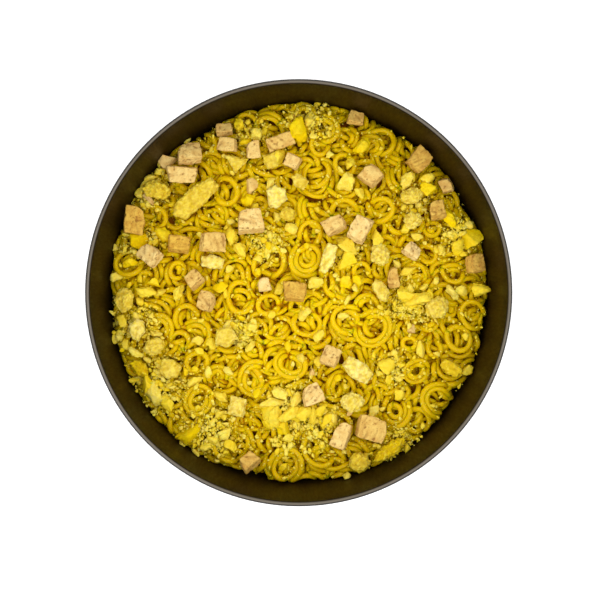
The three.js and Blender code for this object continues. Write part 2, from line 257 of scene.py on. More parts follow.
def roughened(bm, tint, amount):
    """Moves each vertex along its normal. amount(place) gives the move and how hollow the place is.
    The mesh keeps the hollows, and the tint of the whole piece, for its material to read."""
    bm.normal_update()
    tint_layer = bm.verts.layers.float.new(TINT)
    hollow_layer = bm.verts.layers.float.new(HOLLOW)
    for v in bm.verts:
        move, v[hollow_layer] = amount(v.co)
        v[tint_layer] = tint
        v.co += v.normal * move


def stored(tree, name):
    """What a piece's mesh keeps under a name, for its material."""
    return add(tree, "Attribute", attribute_name=name).outputs["Fac"]


def cube_shape(node, tint, grain):
    """A cube's copy, grooved along the meat's grain, whose direction is an angle."""
    bm = fine_copy(node, CUBE_MESH)
    along = Vector((math.cos(grain), math.sin(grain), 0))

    def relief(co):
        drawn_out = co - along * (0.88 * co.dot(along))
        groove = max(0.0, noise.noise(drawn_out * GROOVES_PER_METRE) - 0.05)
        pit = max(0.0, noise.noise(co * PITS_PER_METRE) - 0.25) * 2
        swell = noise.noise(co * SWELLS_PER_METRE) * 0.35
        return (swell - 0.45 * groove - 0.35 * pit) * MM, groove + pit

    roughened(bm, tint, relief)
    return bm


meat_finish, tree, shader, place = finish("dried meat", Roughness=0.82, Specular_IOR_Level=0.25)
paleness = stored(tree, TINT)
pale = blended(tree, paleness, colour(215, 173, 64), colour(237, 211, 141))
brown = blended(tree, paleness, colour(186, 134, 40), colour(225, 187, 110))
blotches = ramp(tree, speckle(tree, place, 420, detail=6, roughness=0.7), 0.4, 0.62)
flesh = blended(tree, blotches, pale, brown)
# Painted shade: the grooves and pits of the relief are a darker brown.
hollows = ramp(tree, stored(tree, HOLLOW), 0.1, 0.8, 0, 0.75)
flesh = blended(tree, hollows, flesh, colour(132, 80, 22))
pores = ramp(tree, speckle(tree, place, 1500, detail=3), 0.62, 0.7, 0, 0.8)
flesh = blended(tree, pores, flesh, colour(112, 66, 22))
tree.links.new(flesh, shader.inputs["Base Color"])
bumped(tree, shader, speckle(tree, place, 2200, detail=5), 0.5, 0.15 * MM)

chance = np.random.default_rng(4)
for number in range(1, CUBES + 1):
    node = f"meat_cube_{number:02d}"
    tint = CUBE_TINTS.get(number, chance.uniform(0.15, 0.65))
    cube = cube_shape(node, tint, chance.uniform(0, math.pi))
    add_piece(f"dried_meat_{number:02d}", cube, meat_finish, "dried_meat", node)


# ---------------------------------------------------------------------------
# The larger yellow chunks. They are dry and crumbly: lumps with craggy sides and
# flatter flakes with broken edges. Each starts as a copy of its plain solid.

CHUNKS = 26
CHUNK_MESH = 0.45 * MM
COARSE_CRUMB = 2.1 * MM
FINE_CRUMB = 1.2 * MM
FLAKE_RELIEF = 0.6 * MM
LUMP_RELIEF = 1.0 * MM
FLAKES = {1, 3, 4, 5, 7, 10, 12, 13, 15, 17, 19, 21, 22, 26}
# How pale each is, from a deep yellow at 0 to cream at 1.
CHUNK_TINTS = {1: 0.3, 2: 0.2, 3: 0.4, 4: 0.35, 5: 1.0, 6: 0.25, 7: 0.5, 8: 0.4, 9: 0.55,
               10: 0.95, 11: 0.35, 12: 0.75, 13: 1.0, 14: 0.65, 15: 0.6, 16: 0.5, 17: 0.5, 18: 0.4,
               19: 0.4, 20: 0.0, 21: 0.65, 22: 1.0, 23: 0.7, 24: 0.2, 25: 0.0, 26: 0.05}


def crags(co, size):
    """Rounded crumbs of a given size, packed side by side, as a height from 0 to 1."""
    near = noise.voronoi(co / size)[0]
    return 1 - min(1.0, near[0] * 1.3)


def chunk_shape(node, tint, depth):
    """A chunk's copy, crumbly all over, with a relief of a given depth."""
    bm = fine_copy(node, CHUNK_MESH)

    def relief(co):
        jagged = noise.fractal(co * 600, 0.6, 2.1, 3)
        height = 0.45 * crags(co, COARSE_CRUMB) + 0.65 * crags(co, FINE_CRUMB) + 0.6 * jagged
        return depth * (height - 0.6), 0.7 - height

    roughened(bm, tint, relief)
    return bm


chunk_finish, tree, shader, place = finish("crumbly yellow", Roughness=0.85, Specular_IOR_Level=0.15,
                                           Subsurface_Weight=0.6, Subsurface_Radius=(1.0, 0.85, 0.15),
                                           Subsurface_Scale=1.4 * MM)
paleness = stored(tree, TINT)
light = blended(tree, paleness, colour(221, 191, 2), colour(238, 223, 132))
deep = blended(tree, paleness, colour(203, 166, 0), colour(226, 201, 60))
patches = ramp(tree, speckle(tree, place, 500, detail=5, roughness=0.65), 0.42, 0.68)
chunk_colour = blended(tree, patches, light, deep)
grains = add(tree, "TexVoronoi", {"Vector": place, "Scale": 1100.0}).outputs["Color"]
chunk_colour = blended(tree, ramp(tree, grains, 0.6, 0.9, 0, 0.4), chunk_colour, colour(238, 220, 92))
# Painted shade: the hollows of the crumbly relief are a deeper orange.
hollows = ramp(tree, stored(tree, HOLLOW), 0.1, 0.8, 0, 0.5)
chunk_colour = blended(tree, hollows, chunk_colour, colour(190, 146, 0))
tree.links.new(chunk_colour, shader.inputs["Base Color"])
bumped(tree, shader, speckle(tree, place, 2400, detail=5, roughness=0.7), 0.6, 0.2 * MM)

for number in range(1, CHUNKS + 1):
    node = f"yellow_chunk_{number:02d}"
    tint = CHUNK_TINTS.get(number, chance.uniform(0.3, 0.8))
    chunk = chunk_shape(node, tint, FLAKE_RELIEF if number in FLAKES else LUMP_RELIEF)
    add_piece(f"crumbly_chunk_{number:02d}", chunk, chunk_finish, "yellow_chunks", node)


# ---------------------------------------------------------------------------
# The heap of noodles. Short strands of round dried noodle lie in curls, several
# deep, over a dark middle that stands for the strands that can't be seen.
# Each strand is laid on what is already there, as if dropped from above.

# The heap's bare top, in millimetres.
EDGE_HEIGHT = 34.5
MIDDLE_RISE = 4.5
SWELL_HEIGHT = 0.9
WALL_GAP = 0.4
FALL = 3  # how much the top falls away along the wall
FALL_WIDTH = 7

NOODLE_RADIUS = 1.05 * MM
REACH = 77.8 * MM  # how far out the food goes
LAYER_DEPTH = 7 * MM  # from the lowest strands to the wanted top
STRAND_RISE = 0.5 * MM
LOOSE_GAP = 0.5 * MM  # between a strand and the underside of a cube or chunk
PRESSED = 0.86  # how much of its half height a strand keeps where it rests on others
BESIDE = 1.78 * NOODLE_RADIUS  # from a strand to one that lies alongside
STEP = 0.6 * MM  # along a strand's path
CELL = 0.4 * MM  # of the maps of heights
MAP_HALF = 84 * MM
MAP_MARGIN = 4


def heap_top(x, y):
    """Height of the heap's bare top, as the plain solids have it."""
    x, y = x / MM, y / MM
    edge = wall_radius(RIM_RADIUS - WALL, EDGE_HEIGHT * MM) / MM - WALL_GAP
    out = np.hypot(x, y)
    past = np.maximum(0, out - (edge - FALL_WIDTH)) / FALL_WIDTH
    swell = np.sin(x / 9 + 1.3) * np.cos(y / 10 - 0.7) + 0.6 * np.sin((x - y) / 13)
    rise = EDGE_HEIGHT + MIDDLE_RISE * (1 - (out / edge) ** 2) + SWELL_HEIGHT * swell
    return (rise - FALL * past**2) * MM


cells = int(2 * MAP_HALF / CELL)
line = (np.arange(cells) + 0.5) * CELL - MAP_HALF
map_x, map_y = np.meshgrid(line, line, indexing="ij")
wanted = heap_top(map_x, map_y) + STRAND_RISE  # where the topmost strands should come
surface = wanted - LAYER_DEPTH  # the tops of all that is laid so far
ceiling = np.full_like(wanted, 1.0)  # the undersides of the cubes and chunks
covered = np.zeros_like(wanted)  # their tops


def cell_of(x, y):
    """The maps' cells at some places."""
    return (np.clip(((x + MAP_HALF) / CELL).astype(int), MAP_MARGIN, cells - 1 - MAP_MARGIN),
            np.clip(((y + MAP_HALF) / CELL).astype(int), MAP_MARGIN, cells - 1 - MAP_MARGIN))


def note_loose_piece(node):
    """Marks a loose piece's underside and top, so that no strand runs through it."""
    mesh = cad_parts[node].data
    corners = np.array([[mesh.vertices[i].co[:] for i in face.vertices] for face in mesh.polygons])
    shares = np.linspace(0, 1, 26)
    u, v = np.meshgrid(shares, shares)
    inside = u + v <= 1
    u, v = u[inside][None, :, None], v[inside][None, :, None]
    a, b, c = corners[:, None, 0], corners[:, None, 1], corners[:, None, 2]
    points = (a + (b - a) * u + (c - a) * v).reshape(-1, 3)
    spot = cell_of(points[:, 0], points[:, 1])
    np.minimum.at(ceiling, spot, points[:, 2])
    np.maximum.at(covered, spot, points[:, 2])


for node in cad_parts:
    if node not in ("bowl", "noodles"):
        note_loose_piece(node)


def disc(share):
    """Map cells under a strand, out to a share of its radius, and its half height over each."""
    reach = int(NOODLE_RADIUS / CELL) + 1
    near = [(i, j) for i in range(-reach, reach + 1) for j in range(-reach, reach + 1)
            if math.hypot(i, j) * CELL < share * NOODLE_RADIUS]
    rows, columns = (np.array(side) for side in zip(*near))
    return rows, columns, np.sqrt(NOODLE_RADIUS**2 - (np.hypot(rows, columns) * CELL) ** 2)


seat_rows, seat_columns, seat_dome = disc(0.62)  # the part that rests on what is below
strand_rows, strand_columns, strand_dome = disc(0.95)


def resting_height(i, j):
    """Height of a strand's middle where it rests on the surface map, pressed a little into others."""
    below = surface[i[:, None] + seat_rows, j[:, None] + seat_columns]
    return (below + PRESSED * seat_dome).max(axis=1)


def fits_under(i, j, z):
    """Whether a strand at that height passes below every loose piece."""
    roof = ceiling[i[:, None] + strand_rows, j[:, None] + strand_columns].min(axis=1)
    return z + NOODLE_RADIUS < roof - LOOSE_GAP


WAVY_SHARE = 0.35  # of the strands; the others go round in loops
# The least and the most of each, in millimetres, radians or turns.
BEND_RADII = (3.8, 9)
BEND_ANGLES = (1.4, 4.5)
LOOP_RADII = (3.2, 6.4)
LOOP_TURNS = (0.8, 2.8)
LOOP_DRIFTS = (1, 8)  # how far a loop moves along in one turn


def curve_path(bends, heading):
    """A path of equal steps through bends, each (radius, angle), where a minus angle turns right."""
    turns = np.concatenate([np.full(max(2, int(abs(a) * r / STEP)), math.copysign(STEP / r, a))
                            for r, a in bends])
    turns = np.convolve(np.pad(turns, 3, mode="edge"), np.ones(7) / 7, mode="valid")
    headings = heading + np.cumsum(turns)
    return np.cumsum(np.cos(headings)) * STEP, np.cumsum(np.sin(headings)) * STEP


def wavy_path():
    """A strand that bends one way and then the other."""
    bends = []
    side = chance.choice([-1, 1])
    for _ in range(chance.integers(2, 5)):
        bends.append((chance.uniform(*BEND_RADII) * MM, side * chance.uniform(*BEND_ANGLES)))
        side *= chance.choice([-1, 1], p=[0.65, 0.35])
    return curve_path(bends, chance.uniform(0, 2 * math.pi))


def looped_path(radius, turns, drift):
    """A strand that goes round and round while its loops move along."""
    angle = np.linspace(0, 2 * math.pi * turns, 400)
    size = radius * (1 + 0.18 * np.sin(angle * chance.uniform(0.3, 1.1) + chance.uniform(0, 6)))
    course = chance.uniform(0, 2 * math.pi) + chance.uniform(-0.15, 0.15) * angle
    spin = chance.choice([-1, 1]) * angle + chance.uniform(0, 2 * math.pi)
    moved = drift * (angle[1] - angle[0]) / (2 * math.pi)
    x = size * np.cos(spin) + np.cumsum(np.cos(course)) * moved
    y = size * np.sin(spin) + np.cumsum(np.sin(course)) * moved
    gone = np.concatenate([[0], np.cumsum(np.hypot(np.diff(x), np.diff(y)))])
    even = np.arange(0, gone[-1], STEP)
    return np.interp(even, gone, x), np.interp(even, gone, y)


def strand_path():
    """A strand's path at random, from wherever it starts."""
    if chance.uniform() < WAVY_SHARE:
        return wavy_path()
    radius = chance.uniform(*LOOP_RADII) * MM
    turns = chance.uniform(*LOOP_TURNS)
    return looped_path(radius, turns, chance.uniform(*LOOP_DRIFTS) * MM)


def food_edge(x, y):
    """How far out strands reach, which is a little uneven round the bowl."""
    around = np.arctan2(y, x)
    uneven = 0.9 * np.sin(5 * around + 1) + 0.8 * np.sin(11 * around) + 0.5 * np.sin(19 * around + 2)
    return REACH + uneven * MM


def stamp(i, j, z):
    """Raises the surface map to the top of a strand laid there."""
    rows, columns = i[:, None] + strand_rows, j[:, None] + strand_columns
    np.maximum.at(surface, (rows, columns), z[:, None] + strand_dome)


def eased(z):
    """Values in a row, each drawn towards its neighbours."""
    padded = np.pad(z, 1, mode="edge")
    return (padded[:-2] + 2 * z + padded[2:]) / 4


def longest_run(good):
    """The longest stretch of a path over which something holds."""
    edges = np.flatnonzero(np.diff(np.concatenate([[False], good, [False]]).astype(int)))
    if not len(edges):
        return slice(0, 0)
    longest = (edges[1::2] - edges[::2]).argmax()
    return slice(edges[2 * longest], edges[2 * longest + 1])


SHORTEST_LAID = 4 * MM
BRIDGING_PASSES = 24
SMOOTHING_PASSES = 4
strands = []


def lay(x, y, allowed):
    """Lays a strand along a path, over itself too, as far as it stays low and clear of loose pieces.
    It is too stiff to follow every dip, so it bridges them."""
    i, j = cell_of(x, y)
    z = np.empty(len(x))
    before = surface.copy()
    behind = int(2.6 * NOODLE_RADIUS / STEP)
    for k in range(len(x)):
        z[k] = resting_height(i[k:k + 1], j[k:k + 1])[0]
        if k >= behind:
            laid = slice(k - behind, k - behind + 1)
            stamp(i[laid], j[laid], z[laid])
    for _ in range(BRIDGING_PASSES):
        z = np.maximum(z, eased(z))
    for _ in range(SMOOTHING_PASSES):
        z = eased(z)
    surface[:] = before
    run = longest_run(fits_under(i, j, z) & (z < wanted[i, j] + allowed + 0.8 * NOODLE_RADIUS))
    stamp(i[run], j[run], z[run])
    if run.stop > run.start + SHORTEST_LAID / STEP:
        strands.append((x[run], y[run], z[run]))


def try_strand(path, allowed, shortest):
    """The longest stretch of a path that is low enough and clear of loose pieces, and how low it lies."""
    x, y = path
    i, j = cell_of(x, y)
    z = resting_height(i, j)
    run = longest_run(fits_under(i, j, z) & (z + NOODLE_RADIUS < wanted[i, j] + allowed)
                      & (np.hypot(x, y) < food_edge(x, y)))
    if (run.stop - run.start) * STEP < shortest:
        return None
    return x[run], y[run], (wanted[i, j] - z)[run].mean()


def lay_one_or_two(x, y, allowed, shortest):
    """Lays a strand and, half of the time, another alongside it where that finds room."""
    second = chance.integers(0, 2)
    lay(x, y, allowed)
    aside = BESIDE * chance.choice([-1, 1])
    if second:
        dx, dy = np.gradient(x), np.gradient(y)
        length = np.hypot(dx, dy)
        found = try_strand((x - aside * dy / length, y + aside * dx / length), allowed, shortest)
        if found:
            lay(found[0], found[1], allowed)


def places_anywhere(count):
    """Random places, spread evenly over the heap."""
    angle = chance.uniform(0, 2 * math.pi, count)
    out = REACH * np.sqrt(chance.uniform(0, 1, count))
    return out * np.cos(angle), out * np.sin(angle)


def lowest_spot(tries=60):
    """Of some random places on the heap, the one that most needs a strand."""
    x, y = places_anywhere(tries)
    i, j = cell_of(x, y)
    gap = np.minimum(wanted[i, j] - surface[i, j], ceiling[i, j] - surface[i, j] - NOODLE_RADIUS)
    best = gap.argmax()
    return x[best], y[best]


LENGTH_WORTH = 0.02 * MM  # what a step more of length is worth in lowness


def fill(count, paths, allowed, shortest):
    """Lays strands one by one, each through an empty spot and as low as it will go. allowed is how far
    they may stand above the wanted top."""
    for _ in range(count):
        spot_x, spot_y = lowest_spot()
        found = []
        for _ in range(paths):
            x, y = strand_path()
            through = chance.integers(len(x))
            found.append(try_strand((x - x[through] + spot_x, y - y[through] + spot_y), allowed, shortest))
        found = [f for f in found if f]
        if found:
            x, y, _ = max(found, key=lambda f: f[2] + LENGTH_WORTH * len(f[0]))
            lay_one_or_two(x, y, allowed, shortest)


# The plainest curls of the top layer: middle x and y, and radius, in millimetres.
CURLS = [
    (-38.3, 60.5, 4.5), (-21.4, 68.6, 4.6), (-12.3, 66.1, 5.5), (-10.7, 73, 3.4), (1.2, 72, 5.2),
    (10.3, 67.4, 3.7), (8.6, 60.6, 3.8), (18.9, 64.2, 4.6), (29.2, 60.4, 4.5), (32.9, 61.8, 5.6),
    (40.1, 57.4, 4.7), (41.2, 48, 5.7), (54.3, 45.3, 4.1), (18.7, 52.4, 3.9), (17.6, 44.5, 5.8),
    (17.6, 44.5, 3.6), (32.9, 33.8, 5), (40.5, 29.3, 4.4), (54.5, 26.2, 3), (18.7, 31.6, 6),
    (52.5, 16, 3.5), (63, 9, 4.5), (71.5, -9.3, 5.2), (65.4, -18.7, 4.8), (45.1, -20.6, 2.5),
    (55.5, -22.8, 2.9), (53.1, -10.7, 4.3), (30, -14.5, 5.3), (30, -14.5, 3.1), (20.1, -11.3, 5.9),
    (20.1, -11.3, 3.6), (3.1, -12.7, 5), (25.6, 8.6, 3.4), (27.6, -4.4, 3.9), (35.3, -6.7, 2.9),
    (48.2, -31.9, 4.6), (39.4, -48.4, 4.5), (39.4, -48.4, 2.5), (16.8, -37.7, 5.2), (8.4, -64.1, 6.5),
    (8.8, -67.4, 4.1), (-5.5, -71, 5), (-13, -68.5, 2.6), (-3.6, -29.3, 5.7), (-18.4, -35, 6.3),
    (-18.4, -35, 4.2), (-29, -63.5, 5.9), (-41.2, -44, 5.5), (-34, -34.1, 4.3), (-41.7, -28.2, 4),
    (-43.3, -17.6, 6.5), (-57.2, -14.8, 3.7), (-46, -10.5, 5), (-24, -2, 5.6), (-24, -2, 3.5),
    (-12.5, -4.9, 4), (-12.3, 12.3, 6.2), (3.4, 13.9, 5), (3.4, 13.9, 2.9), (4.5, 24.2, 4.5),
    (4.5, 34.6, 5), (-11.7, 45.5, 5.2), (-30, 41.7, 5), (-38.3, 34.4, 3.3), (-49.6, 9.2, 3),
    (-34.6, -52, 6), (61, 33, 5), (-70, 12, 5), (-60, 31, 5), (57.5, -44.5, 5),
]


def lay_curl(x, y, radius):
    """Lays most of a ring, a little out of round, about a middle. It may stand a little high."""
    turn = chance.uniform(1.5, 2.3) * math.pi
    angle = np.arange(0, turn, STEP / radius) + chance.uniform(0, 2 * math.pi)
    size = radius * (1 + 0.09 * np.sin(2 * angle + chance.uniform(0, 6)) + 0.05 * np.sin(1.3 * angle))
    ring = (x + size * np.cos(angle), y + size * np.sin(angle))
    found = try_strand(ring, allowed=2 * MM, shortest=6 * MM)
    if found:
        lay_one_or_two(found[0], found[1], allowed=2 * MM, shortest=8 * MM)


fill(1300, paths=8, allowed=-1.2 * MM, shortest=12 * MM)
fill(900, paths=12, allowed=-0.2 * MM, shortest=9 * MM)
for x, y, radius in CURLS:
    lay_curl(x * MM, y * MM, radius * MM)
fill(1000, paths=14, allowed=0.4 * MM, shortest=6.5 * MM)


def held_in(points, margin):
    """Points moved level towards the middle where they would be closer than a margin to the wall."""
    furthest = wall_radius(RIM_RADIUS - WALL, points[:, 2]) - margin
    share = np.minimum(1, furthest / np.hypot(points[:, 0], points[:, 1]))
    return points * np.stack([share, share, np.ones_like(share)], axis=1)


END_DIP = 3 * MM
END_DIP_LENGTH = 5 * MM


def strand_arrays(x, y, z, radius, sides, spacing):
    """Vertices and faces of one round strand, whose ends dip among the others."""
    from_end = np.minimum(np.arange(len(x)), np.arange(len(x))[::-1]) * STEP
    z = z - END_DIP * np.clip(1 - from_end / END_DIP_LENGTH, 0, 1) ** 2
    steps = np.linspace(0, len(x) - 1, max(3, round(len(x) * STEP / spacing) + 1))
    centre = np.stack([np.interp(steps, np.arange(len(x)), values) for values in (x, y, z)], axis=1)
    centre = held_in(centre, 1.3 * radius)
    along = np.gradient(centre, axis=0)
    along /= np.linalg.norm(along, axis=1)[:, None]
    start = centre[:1] - along[:1] * 0.3 * radius
    end = centre[-1:] + along[-1:] * 0.3 * radius
    centre = np.vstack([start, centre, end])
    along = np.vstack([along[:1], along, along[-1:]])
    side = np.cross([0, 0, 1], along)
    side /= np.linalg.norm(side, axis=1)[:, None]
    up = np.cross(along, side)
    size = radius * (1 + eased(eased(chance.normal(0, 0.09, len(centre)))))
    size[[0, -1]] *= 0.72
    angle = np.arange(sides) * 2 * math.pi / sides
    ring = side[:, None] * np.cos(angle)[None, :, None] + up[:, None] * np.sin(angle)[None, :, None]
    verts = (centre[:, None] + size[:, None, None] * ring).reshape(-1, 3)
    first = np.arange(len(centre) - 1)[:, None] * sides
    a = first + np.arange(sides)
    b = first + (np.arange(sides) + 1) % sides
    walls = np.stack([a, b, b + sides, a + sides], axis=-1).reshape(-1, 4)
    ends = [list(range(sides))[::-1], list(range(len(verts) - sides, len(verts)))]
    return verts, walls.tolist() + ends


def joined(name, parts):
    """One mesh of many small shapes, each (vertices, faces, tint)."""
    verts, faces, tints, total = [], [], [], 0
    for points, sides, tint in parts:
        verts.append(points)
        faces += [[v + total for v in face] for face in sides]
        tints.append(np.broadcast_to(tint, len(points)))
        total += len(points)
    mesh = bpy.data.meshes.new(name)
    mesh.from_pydata(np.concatenate(verts).tolist(), [], faces)
    layer = mesh.attributes.new(TINT, "FLOAT", "POINT")
    layer.data.foreach_set("value", np.concatenate(tints).astype(np.float32))
    return mesh


def mean_over(values, axis):
    """A map of heights, evened out over a few cells along one axis."""
    return np.mean([np.roll(values, shift, axis) for shift in range(-3, 4)], axis=0)


FULLY_SUNK = 2.8 * MM
level = mean_over(mean_over(surface, 0), 1)


def sunk(points):
    """How deep points lie below the tops of the strands round about, from 0 to 1."""
    below = level[cell_of(points[:, 0], points[:, 1])] - points[:, 2]
    return np.clip(below / FULLY_SUNK, 0, 1)


def joined_strands(name, chosen, sides, spacing):
    """One mesh of many strands, whose tint is lower the deeper they are buried, for the noodle finish to
    turn into painted light and shade.
    """
    parts = []
    for x, y, z in chosen:
        radius = NOODLE_RADIUS * chance.uniform(0.92, 1.08)
        verts, faces = strand_arrays(x, y, z, radius, sides, spacing)
        parts.append((verts, faces, np.clip(chance.uniform(0.85, 1.1) - sunk(verts), 0, 1)))
    return joined(name, parts)


noodle_finish, tree, shader, place = finish("dried noodle", Roughness=0.5, Specular_IOR_Level=0.12,
                                             Subsurface_Weight=1.0, Subsurface_Radius=(1.0, 0.85, 0.1),
                                             Subsurface_Scale=2.2 * MM)
raised = stored(tree, TINT)
# Painted light and shade by depth: the strands' tops are a mid yellow, their partly sunk sides a brighter
# yellow that offsets their shade, and their deep parts a dark orange.
strand_colour = blended(tree, ramp(tree, raised, 0.05, 0.5), colour(208, 144, 0), colour(241, 208, 4))
strand_colour = blended(tree, ramp(tree, raised, 0.55, 0.95), strand_colour, colour(221, 187, 4))
cloudy = ramp(tree, speckle(tree, place, 260, detail=5), 0.4, 0.75, 0, 0.4)
strand_colour = blended(tree, cloudy, strand_colour, colour(232, 202, 16))
freckles = ramp(tree, speckle(tree, place, 900, detail=4, roughness=0.7), 0.52, 0.68, 0, 0.4)
strand_colour = blended(tree, freckles, strand_colour, colour(208, 156, 0))
# Painted shade: the strands grow darker and greener towards the wall.
wall_shade = ramp(tree, distance_out(tree, place), 24 * MM, 80 * MM, 0, 0.7)
strand_colour = blended(tree, wall_shade, strand_colour, colour(198, 164, 0))
tree.links.new(strand_colour, shader.inputs["Base Color"])
bumped(tree, shader, speckle(tree, place, 1500, detail=3), 0.3, 0.1 * MM)

# Each layer: the depths below the wanted top that it spans, the sides of its strands, and the length
# between their rings, in millimetres.
LAYERS = {
    "noodles_upper": (-9, 2.2, 10, 1.2),
    "noodles_middle": (2.2, 4, 8, 1.5),
    "noodles_lower": (4, 99, 6, 1.8),
}
depth_of = [np.mean(wanted[cell_of(x, y)] - z) for x, y, z in strands]
for name, (shallow, deep, sides, spacing) in LAYERS.items():
    chosen = [s for s, depth in zip(strands, depth_of) if shallow * MM <= depth < deep * MM]
    layer = joined_strands(name, chosen, sides, spacing * MM)
    add_piece(name, layer, noodle_finish, "noodles", "noodles")


# ---------------------------------------------------------------------------
# The dark middle of the heap, which shows only between the strands.
# It fills the bowl up to a little below the lowest strands.

CORE_GAP = 0.4 * MM
CORE_SIDE_TOP = EDGE_HEIGHT * MM - 11 * MM
CORE_RINGS = 24


def core_shape():
    """A spun block under a level top, whose top is then raised to the heap's form."""
    rim = RIM_RADIUS - WALL - CORE_GAP
    edge = wall_radius(rim, CORE_SIDE_TOP)
    section = [(0, FLOOR_HEIGHT + CORE_GAP)]
    section += corner(rim, FLOOR_HEIGHT + CORE_GAP, INNER_CORNER, outward=True)
    section += [(edge * (1 - k / CORE_RINGS), CORE_SIDE_TOP) for k in range(CORE_RINGS + 1)]
    bm = spun(section, steps=96)
    for v in bm.verts:
        if v.co.z > CORE_SIDE_TOP - 0.01 * MM:
            uneven = 0.6 * noise.noise(v.co * 300) * MM
            v.co.z = float(heap_top(v.co.x, v.co.y)) - LAYER_DEPTH + uneven
    return bm


core_finish, tree, shader, place = finish("shaded noodle", Roughness=0.8, Specular_IOR_Level=0.1)
# Painted shade: the middle is the noodles' yellow darkened to an orange-brown.
depths = blended(tree, speckle(tree, place, 300), colour(140, 70, 0), colour(184, 112, 0))
# Painted shadow: near the wall it goes nearly black.
wall_shadow = ramp(tree, distance_out(tree, place), 70 * MM, 76 * MM)
depths = blended(tree, wall_shadow, depths, colour(16, 8, 2))
tree.links.new(depths, shader.inputs["Base Color"])
add_piece("heap_middle", core_shape(), core_finish, "noodles", "noodles")


# ---------------------------------------------------------------------------
# Crumbs and small chunks, broken off the larger chunks and strewn over the
# noodles. They lie thickest in a few patches and along the wall.

CRUMB_OVERREACH = 0.9 * MM  # how much further out than the noodles crumbs lie
WALL_CLEARANCE = 0.2 * MM
BREAKS = 9  # flat breaks on each shape
WIDENING = 1.15  # makes up for what the breaks take off a shape's width
LARGE_WIDTH = 5.2  # in millimetres; chunks that are wider have a finer mesh
# Patches where crumbs gather: middle x and y, spread, in millimetres, and share of the crumbs.
CRUMB_PATCHES = [
    (-1, -50, 14, 3), (-24, -16, 7, 1.5), (-66, -12, 10, 2), (-56, -36, 12, 2.5), (-36, -56, 12, 2),
    (-60, 42, 8, 1.5), (-13, 20, 8, 1.5), (44, -4, 10, 2), (38, -31, 7, 1), (66, 24, 8, 1),
    (40, -62, 9, 1.2), (-20, 64, 7, 0.7), (4, 70, 9, 1), (20, 17, 7, 1), (48, 38, 7, 0.7),
    (-66, 20, 9, 1), (12, -55, 10, 1),
]
# Small chunks in their places: x, y and width, in millimetres, and how pale each is.
SMALL_CHUNKS = [
    (-62, 0.5, 7, 0.4), (-56.5, 0, 4.5, 0.5), (-49, 0, 5.5, 0.5), (-58.8, 4.1, 5.5, 0.2),
    (-67.1, -24.2, 5.5, 0.9), (-70.9, -21.3, 4, 0.5), (-72.4, -11.5, 5, 0.4), (-74.9, 6.4, 5, 0.7),
    (-69, 12.7, 5.5, 0.1), (-65.5, 21.5, 7, 0), (-65, 41.3, 5, 0.6), (-61.2, 46.5, 5, 0.6),
    (-57.2, 50, 4.5, 0.5), (-56.2, 23.9, 7, 0.2), (-62, -36.9, 7, 0.2), (-53.5, -45.8, 6, 0.3),
    (-42.6, -36, 5, 0.6), (-31.8, -42.2, 6, 0.5), (-28.5, -31.7, 4, 1), (-41.2, -19.5, 4.5, 0.7),
    (-45.5, -58.1, 9, 0.1), (-37.5, -63.1, 4.5, 0.6), (-27.6, -63.2, 5, 0.3), (-19, -13.8, 4.5, 0.8),
    (-19.6, -21.3, 5, 0.7), (-58.8, -41.5, 7, 1), (-10.5, -44.8, 7, 0.8), (-7.1, -42, 6, 0.9),
    (-1, -43.4, 6, 0.8), (-13, -48.5, 7, 0.4), (-9, -50, 8, 0.5), (-4, -49.5, 8, 0.5), (1, -49, 8, 0.4),
    (5.5, -50, 7, 0.4), (9, -48.5, 6, 0.3), (-12, -53, 6, 0.2), (-6, -54.5, 6, 0.2), (12, -52, 5, 0.3),
    (8.8, -17.5, 4.5, 0.6), (0.8, -26.5, 3.5, 0.8), (30.5, -48.1, 5, 1), (49.8, -23, 4.5, 0.7),
    (36.1, -30.7, 6, 0.4), (40.8, -41, 5, 0.4), (-5.8, -71.2, 4.5, 0.2), (19.6, -75, 4, 0.8),
    (-24.3, 68.9, 6, 0.2), (-17.5, 64.7, 5.5, 0.8), (1, 66.2, 8, 0.1), (-2.8, 71.8, 3.5, 0.6),
    (22.7, 2.2, 3.5, 1), (3.9, 70.5, 5, 0.7), (-22.2, 62, 4.5, 0.1), (-7.6, 55.8, 6, 0.4),
    (-11.2, 45.3, 4.5, 0.9), (-20, 37.5, 5.5, 0.1), (-2.8, 26, 5, 0.8), (-27.4, 23.4, 6, 0.4),
    (-23.2, 18.1, 6, 0.5), (-32.2, 2.5, 6.5, 0.1), (6.1, 3.5, 5.5, 0.7), (-8.1, 1.4, 5, 0.5),
    (19.6, 12.9, 7, 0.3), (19.6, 4.5, 6, 0.2), (2.4, -8.6, 5, 0.8), (18.6, 44.8, 6.5, 0.8),
    (24.9, 59.6, 7, 0.2), (20.9, 52.5, 4.5, 0.4), (24.9, 40.9, 4.5, 0.5), (44, 45.8, 6, 0.8),
    (52.5, 47.1, 5, 0.5), (53.4, 42.7, 6, 0.1), (62.3, 31.1, 6.5, 0.1), (71.2, 21.8, 7, 0.2),
    (69.8, 28.4, 4.5, 0.8), (31.6, 22.2, 6, 0.4), (19.6, 19.1, 7, 0.5), (48.5, 22.7, 5, 0.6),
    (58.3, 17.3, 5, 0.6), (65.8, 18.2, 6, 0.3), (43.6, 26.2, 4.5, 0.4), (43, 0.3, 7, 0.4),
    (49, -2.8, 7.5, 0.5), (62.6, 0.6, 6, 1), (74.5, 1.3, 7, 0.3), (44.3, 8.4, 5, 0.5),
    (67, 0.6, 4.5, 0.7), (69.4, -31.7, 4, 0.4),
]
# Scraps of dried meat in their places: x, y and width, in millimetres, and how pale each is.
MEAT_SCRAPS = [
    (-53.7, 54.3, 6.5, 0.7), (-61.2, 38.2, 5.5, 0.6), (-19.5, 43.5, 5, 0.4), (5.5, -32.5, 3.5, 0.5),
    (21, -49, 3, 0.4), (46, -15, 4, 0.7),
]


